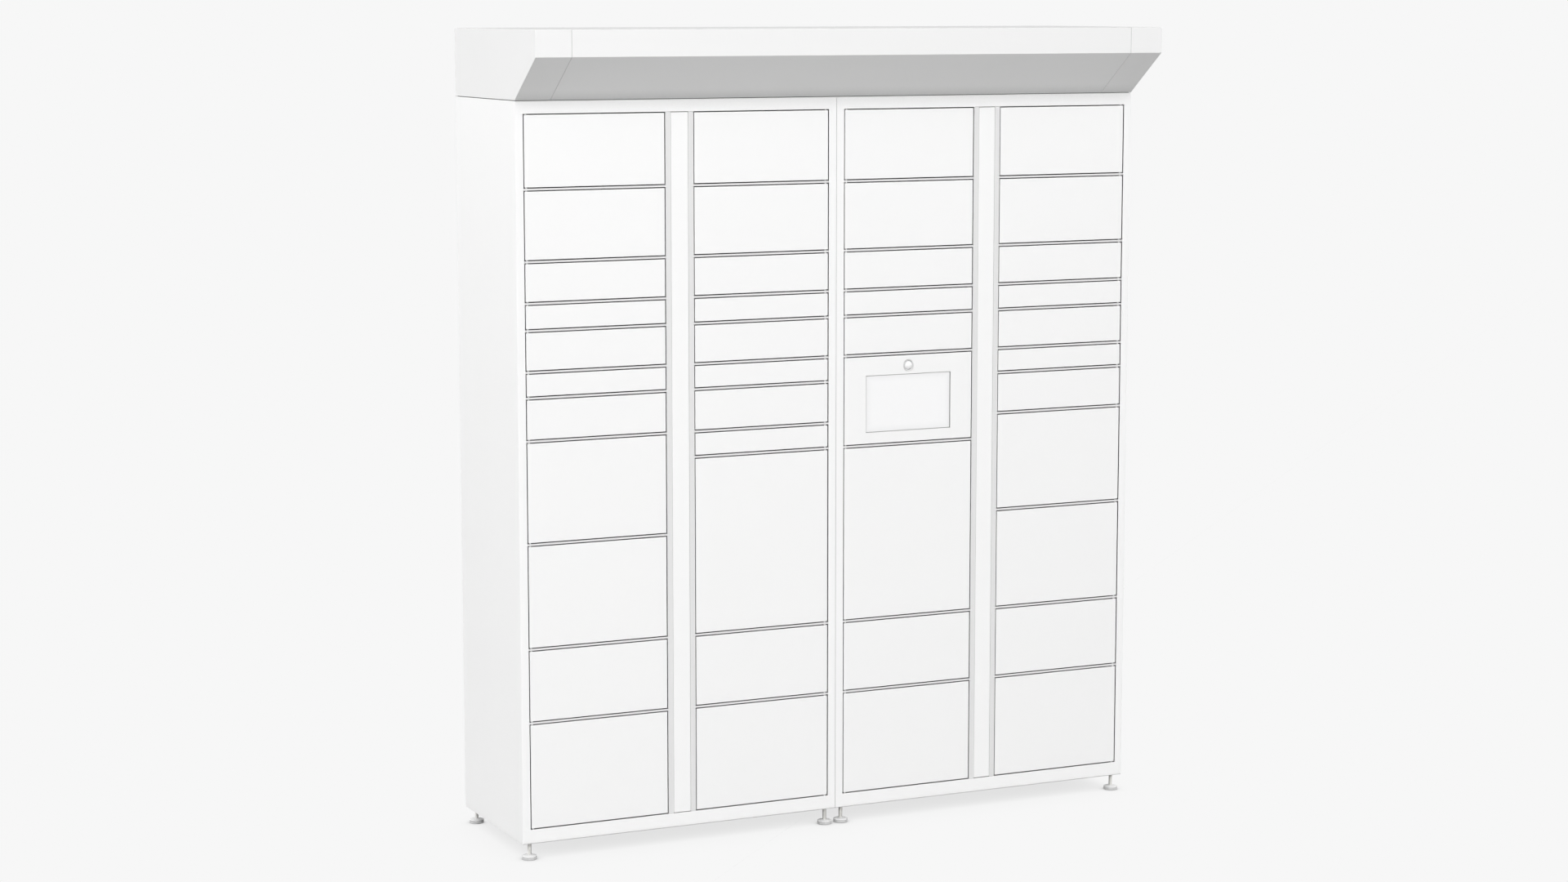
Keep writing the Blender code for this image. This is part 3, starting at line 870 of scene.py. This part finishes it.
on_terminal_door("screen_glass", round_screen(-GLASS_GAP, 0.0, 4.0, 0.4, 2.0), SCREEN_GLASS)
on_terminal_door("screen_gasket", round_screen(5 * MM, 4.1, 5.0, 0.2, 3.0), GASKET)
display = round_screen(BEZEL, 5.2, 14.0, 1.0, 4.0)
plate_low, plate_high = (terminal_low[0], terminal_low[2]), (terminal_high[0], terminal_high[2])
plate = slab(plate_low, plate_high, PLATE_FRONT, PLATE_FRONT + 3 * MM, 0.5 * MM, 5 * MM)
computer_low = (centre_x - COMPUTER_WIDTH / 2, screen_low[1] + COMPUTER_INSET)
computer_high = (centre_x + COMPUTER_WIDTH / 2, screen_high[1] - COMPUTER_INSET)
computer_front = PLATE_FRONT + 3.1 * MM
computer = slab(computer_low, computer_high, computer_front, COMPUTER_BACK, 0.8 * MM, 3 * MM)
fins = []
for number in range(FIN_COUNT):
    fin_x = computer_low[0] + 20 * MM + number * FIN_PITCH
    fin_low = (fin_x, COMPUTER_BACK, computer_low[1] + 12 * MM)
    fin_high = (fin_x + FIN_WIDTH, terminal_high[1], computer_high[1] - 12 * MM)
    fins.append(block(fin_low, fin_high))
housing = on_terminal_door("terminal_computer", joined([display, plate, computer, *fins]), HOUSING)
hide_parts("control_terminal")


# %% Camera dome and its cup
def dome_profile(radius, height, steps=10):
    """A flattened half ball: r = radius sin t and h = -height cos t, from the pole to the rim."""
    t = np.linspace(0.02, math.pi / 2, steps)
    return np.stack([radius * np.sin(t), -height * np.cos(t)], axis=1)


CUP = [
    (17.1, 15), (17.1, -0.4), (16.9, -1.0), (16.4, -1.3), (15.7, -1.2),
    (14.9, -0.5), (14.2, 1.0), (13.9, 3), (13.9, 5), (0, 5),
]
cup = turned([(r * MM, h * MM) for r, h in CUP], CAMERA_PLACE_ON_DOOR, "y", 64)
on_terminal_door("camera_cup", cup, HOUSING)
ball = [*dome_profile(DOME_RADIUS, DOME_HEIGHT), (DOME_RADIUS, 1.5 * MM), (0.0, 1.5 * MM)]
ball = turned(ball, (centre_x, FRONT + DOME_CENTRE, CAMERA_Z), "y", 64)
on_terminal_door("camera_dome", ball, DOME_PLASTIC)
print(f"computer {(COMPUTER_BACK - computer_front) / MM:.0f} mm deep with {len(fins)} fins")

# %% [markdown]
# ## Channel covers
# Between the two columns of each cabinet runs a cable channel, closed by one long flush tray. It
# sits in its slot with half a millimetre of play, so only a hairline shows round it.

# %% Channel covers
for side in ("left", "right"):
    low, high = box(f"{side}_channel_cover")
    stations = tray_stations(high[1] - low[1], SHEET, 0.9 * MM)
    cover = tray((low[0], low[2]), (high[0], high[2]), stations, 2.0 * MM)
    cover = make_piece(f"{side}_cover_strip", cover, BODY_PAINT, "cabinet")
    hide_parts(f"{side}_channel_cover")

# %% [markdown]
# ## Canopy
# The canopy keeps rain off the doors. It is one section, folded from sheet: a fascia, a flat top, a
# back and a soffit that slopes back to the cabinet. A long middle and two short ends with welded
# side plates butt together, and each joint shows as a fine groove because the edges are eased.

# %% Canopy
CANOPY_BEND = 1.8 * MM
EASED = 0.8 * MM
CANOPY_LIFT = 1.2 * MM


def canopy_corners():
    """The section's five corners in Y and Z, read from the frame's middle piece."""
    node = frame["nodes"]["canopy_middle"]
    points = np.array([vertex.co for vertex in node.data.vertices])
    low, high = points.min(axis=0), points.max(axis=0)
    at_nose = points[points[:, 1] < low[1] + 0.5 * MM]
    at_sill = points[points[:, 2] < low[2] + 0.5 * MM]
    nose, back, top, seat = low[1], high[1], high[2], low[2] + CANOPY_LIFT
    fascia = at_nose[:, 2].min()
    return [(at_sill[:, 1].min(), seat), (back, seat), (back, top), (nose, top), (nose, fascia)]


def canopy_ring(corners, x, inset):
    """The canopy's section at one place along the locker, set in by a little."""
    outline = rounded_outline(corners, inset, max(CANOPY_BEND - inset, 0.3 * MM))
    return np.column_stack([np.full(len(outline), x), outline])


CANOPY_SECTION = canopy_corners()
(start, _, _), (end, _, _) = box("canopy_middle")
stations = (
    (start, EASED), (start + EASED, 0.0), (end - EASED, 0.0), (end, EASED),
    (end, SHEET), (start, SHEET),
)
middle = stacked([canopy_ring(CANOPY_SECTION, x, inset) for x, inset in stations], looped=True)
middle = make_piece("canopy_middle_hood", middle, CANOPY_PAINT, "cabinet")
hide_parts("canopy_middle")
for side, way in (("left", 1), ("right", -1)):
    low, high = box(f"canopy_{side}_end")
    outer = low[0] if way > 0 else high[0]
    width = high[0] - low[0]
    stations = [*bend(0.0, 0.0, CANOPY_BEND), (0.0, width - EASED), (EASED, width)]
    stations += [(SHEET, width), (SHEET, SHEET)]
    rings = [canopy_ring(CANOPY_SECTION, outer + way * depth, inset) for inset, depth in stations]
    end = make_piece(f"canopy_{side}_hood", stacked(rings), CANOPY_PAINT, "cabinet")
    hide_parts(f"canopy_{side}_end")

# %% Canopy seal
SEAL_INSET = 5 * MM
SEAL_WIDTH = 12 * MM
SEAL_PLAY = 0.1 * MM
seal_corners = rectangle(
    (LEFT_LOW[0] + SEAL_INSET, FRONT + SEAL_INSET), (RIGHT_HIGH[0] - SEAL_INSET, BACK - SEAL_INSET)
)
seal_bottom, seal_top = TOP + SEAL_PLAY, CANOPY_SECTION[0][1] - SEAL_PLAY
stations = ((0.0, seal_bottom), (0.0, seal_top), (SEAL_WIDTH, seal_top), (SEAL_WIDTH, seal_bottom))
seal = []
for inset, z in stations:
    outline = rounded_outline(seal_corners, inset, 4 * MM)
    seal.append(np.column_stack([outline, np.full(len(outline), z)]))
# the seal's near-black colour also paints the shadow line in the gap under the canopy
make_piece("canopy_seal", stacked(seal, looped=True), SEAL, "cabinet")

# %% [markdown]
# ## Levelling feet
# Eight feet carry the locker. Each is a pressed disc on a threaded rod that screws into a nut welded
# inside the base, which is how the locker is levelled on an uneven floor.

# %% Levelling feet
STEM_RADIUS = 6 * MM
THREAD_PITCH = 1.75 * MM
THREAD_DEPTH = 0.9 * MM
STEM_FOOT = 12.5 * MM
NUT_FLATS = 19 * MM
NUT_HEIGHT = 10 * MM
ROUND = 48  # sides of a round foot and its nut
SOLE = [(0, 0), (20.0, 0), (21.2, 1.2), (21.2, 9.3), (0, 9.3)]
CAP = [(0, 9.4), (21.3, 9.4), (21.2, 9.9), (20.5, 10.5), (17, 11.7), (12, 12.7), (7.5, 13.2), (0, 13.2)]


def foot_shapes(name):
    """The sole, the cap and the stem of one foot, with the profiles scaled to the frame's disc."""
    low, high = box(name)
    centre = ((low[0] + high[0]) / 2, (low[1] + high[1]) / 2, 0.0)
    disc = (high[0] - low[0]) / 2 / 21.3
    sole, cap = (
        turned([(r * disc, h * MM) for r, h in profile], centre, sides=ROUND) for profile in (SOLE, CAP)
    )
    stem = threaded(centre, STEM_RADIUS, THREAD_DEPTH, THREAD_PITCH, STEM_FOOT, high[2])
    return sole, cap, stem


def ring_nut(x, y, z, flats, height):
    """A hexagon nut: a six-sided outside and a round bore, as one looped stack of rings."""
    angle = np.arange(ROUND) * 2 * math.pi / ROUND
    hexagon = flats / 2 / np.cos(np.mod(angle, math.pi / 3) - math.pi / 6)
    bore = np.full(ROUND, STEM_RADIUS + 0.3 * MM)
    rings = []
    for radius, at in ((hexagon, 0.0), (hexagon, height), (bore, height), (bore, 0.0)):
        ring = [x + radius * np.cos(angle), y + radius * np.sin(angle), np.full(ROUND, z + at)]
        rings.append(np.stack(ring, axis=1))
    return stacked(rings, looped=True)


nuts = []
for name in sorted(node for node in frame["nodes"] if node.startswith("foot_")):
    sole, cap, stem = foot_shapes(name)
    # the sole's grey is painted shade
    make_piece(f"{name}_sole", sole, FOOT_SIDE_SHADE, name)
    cap = make_piece(f"{name}_cap", cap, FOOT_PLASTIC, name)
    make_piece(f"{name}_stem", stem, ZINC, name, smooth_angle=60)
    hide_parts(name)
    x, y = (box(name)[0] + box(name)[1])[:2] / 2
    nuts.append(ring_nut(x, y, BASE + SHEET + 0.1 * MM, NUT_FLATS, NUT_HEIGHT))
make_piece("weld_nuts", joined(nuts), ZINC, "cabinet")
print(len(nuts), "feet")

# %% [markdown]
# ## Back and top
# Behind, each cabinet is closed by a plain panel on pop rivets, with a thin grey gasket squeezed out
# round its edge, whose grey also paints a shade line round the panel. It is never seen in use, but it
# is how the lock wiring is reached in the workshop.

# %% Back panels and rivets
PANEL_THICKNESS = 1.0 * MM
PANEL_MARGIN = 22 * MM
PANEL_CORNER = 6 * MM
PANEL_SEAL = 3 * MM
RIVET_INSET = 9 * MM
RIVET_PITCH = 160 * MM
RIVET = [(0.0, -0.2), (3.2, -0.2), (3.2, 0.1), (2.7, 0.75), (1.6, 1.15), (0.5, 1.25), (0.0, 1.25)]
# inset, height above the cabinet's back, and corner radius
PANEL = [
    (0.0, 0.05 * MM, PANEL_CORNER), (0.0, 0.7 * MM, PANEL_CORNER),
    (0.3 * MM, PANEL_THICKNESS, PANEL_CORNER),
]
GASKET_LIP = [
    (inset, height * MM, PANEL_CORNER - inset)
    for inset, height in ((-PANEL_SEAL, 0.05), (-PANEL_SEAL, 0.5), (-0.1 * MM, 0.65), (-0.1 * MM, 0.05))
]


def on_back(corners, stations):
    """Rings over the cabinet's back, one for each station."""
    return [
        facing_front(rounded_outline(corners, inset, radius), BACK - FRONT + height)
        for inset, height, radius in stations
    ]


def rivets_round(low, high):
    """Rivet heads along the four sides of an X-Z rectangle, evenly spaced at about their pitch."""
    (x0, z0), (x1, z1) = np.array(low) + RIVET_INSET, np.array(high) - RIVET_INSET
    across = np.linspace(x0, x1, round((x1 - x0) / RIVET_PITCH) + 1)
    upwards = np.linspace(z0, z1, round((z1 - z0) / RIVET_PITCH) + 1)
    places = [(x, z) for x in across for z in (z0, z1)]
    places += [(x, z) for z in upwards[1:-1] for x in (x0, x1)]
    head = [(r * MM, h * MM) for r, h in RIVET]
    return [turned(head, (x, BACK + PANEL_THICKNESS, z), "y", 12) for x, z in places]


for side, low, high, _ in CABINETS:
    panel_low = (low[0] + PANEL_MARGIN, low[2] + PANEL_MARGIN)
    panel_high = (high[0] - PANEL_MARGIN, high[2] - PANEL_MARGIN)
    corners = rectangle(panel_low, panel_high)
    panel, lip = stacked(on_back(corners, PANEL)), stacked(on_back(corners, GASKET_LIP), looped=True)
    heads = rivets_round(panel_low, panel_high)
    make_piece(f"{side}_back_panel", panel, BODY_PAINT, "cabinet")
    # the gasket's grey also paints a shade line round the panel's edge
    make_piece(f"{side}_back_seal", lip, GASKET, "cabinet")
    make_piece(f"{side}_back_rivets", joined(heads), ZINC, "cabinet")
    print(side, "back:", len(heads), "rivets")

# %% [markdown]
# ## Locks
# Every compartment has an electric lock, bolted to the partition just behind the door's free edge.
# Its case is open at the front, where the door's tongue slides in and a steel hook catches it.

# %% Locks
LOCK_HEIGHT = 44 * MM
LOCK_DEPTH = 62 * MM
LOCK_WIDTH = 13 * MM
LOCK_FRONT = 21 * MM
LOCK_PLAY = 0.3 * MM  # to the partition that carries it
MOUTH_HEIGHT = 22 * MM
MOUTH_DEPTH = 20 * MM
HOOK_RADII = (3.5 * MM, 4.0 * MM)
HOOK_ASIDE = 3.2 * MM
HOOK_SHEET = 2.4 * MM
SCREW_INSETS = (9 * MM, 8 * MM)
SCREW = [(0.0, -0.3), (3.4, -0.3), (3.4, 0.6), (2.9, 1.5), (1.7, 2.0), (1.5, 1.2), (0.0, 1.2)]


def lock_shapes(name):
    """The case as a C-shaped block in Y and Z, its hook, and two screw heads."""
    low, high = door_edges(name)
    side = hinge_side[name]
    partition = (high[0] + DOOR_GAP) if side < 0 else (low[0] - DOOR_GAP)
    near, far = partition + side * (LOCK_WIDTH + LOCK_PLAY), partition + side * LOCK_PLAY
    z = (low[1] + high[1]) / 2
    front, back = FRONT + LOCK_FRONT, FRONT + LOCK_FRONT + LOCK_DEPTH
    bottom, top = z - LOCK_HEIGHT / 2, z + LOCK_HEIGHT / 2
    throat, lower, upper = front + MOUTH_DEPTH, z - MOUTH_HEIGHT / 2, z + MOUTH_HEIGHT / 2
    outline = [
        (front, bottom), (back, bottom), (back, top), (front, top),
        (front, upper), (throat, upper), (throat, lower), (front, lower),
    ]
    case = extruded(outline, "x", min(near, far), max(near, far))
    reach, rise = HOOK_RADII
    turn = np.linspace(-0.5 * math.pi, 0.5 * math.pi, 9)
    nose = [(front + 15 * MM + reach * math.cos(t), z + rise * math.sin(t)) for t in turn]
    hook = [(front + 9 * MM, z - rise), *nose, (front + 9 * MM, z + rise)]
    hook_x = (near + far) / 2 + side * HOOK_ASIDE
    hook = extruded(hook, "x", hook_x - HOOK_SHEET / 2, hook_x + HOOK_SHEET / 2)
    way = 1.0 if near > far else -1.0
    head = [(r * MM, way * h * MM) for r, h in SCREW]
    inwards, upwards = SCREW_INSETS
    screws = [
        turned(head, (near, back - inwards, screw_z), "x", 16)
        for screw_z in (bottom + upwards, top - upwards)
    ]
    return case, hook, screws


for column in range(1, 5):
    cases, steel = [], []
    for name in (n for n in doors if n.startswith(f"door_{column}_")):
        case, hook, screws = lock_shapes(name)
        cases.append(case)
        steel += [hook, *screws]
    locks = f"column_{column}_locks"
    make_piece(locks, joined(cases), DARK_PLASTIC, "cabinet", bevel=0.8 * MM)
    make_piece(f"column_{column}_lock_steel", joined(steel), ZINC, "cabinet")
    print(locks, len(cases))

# %% [markdown]
# ## Finish
# The frame's own racks stay as they are and only take their paint.

# %% Paint the racks
for name in ("left_rack", "right_rack"):
    for place in frame["nodes"][name].material_slots:
        place.material = RACK_PAINT
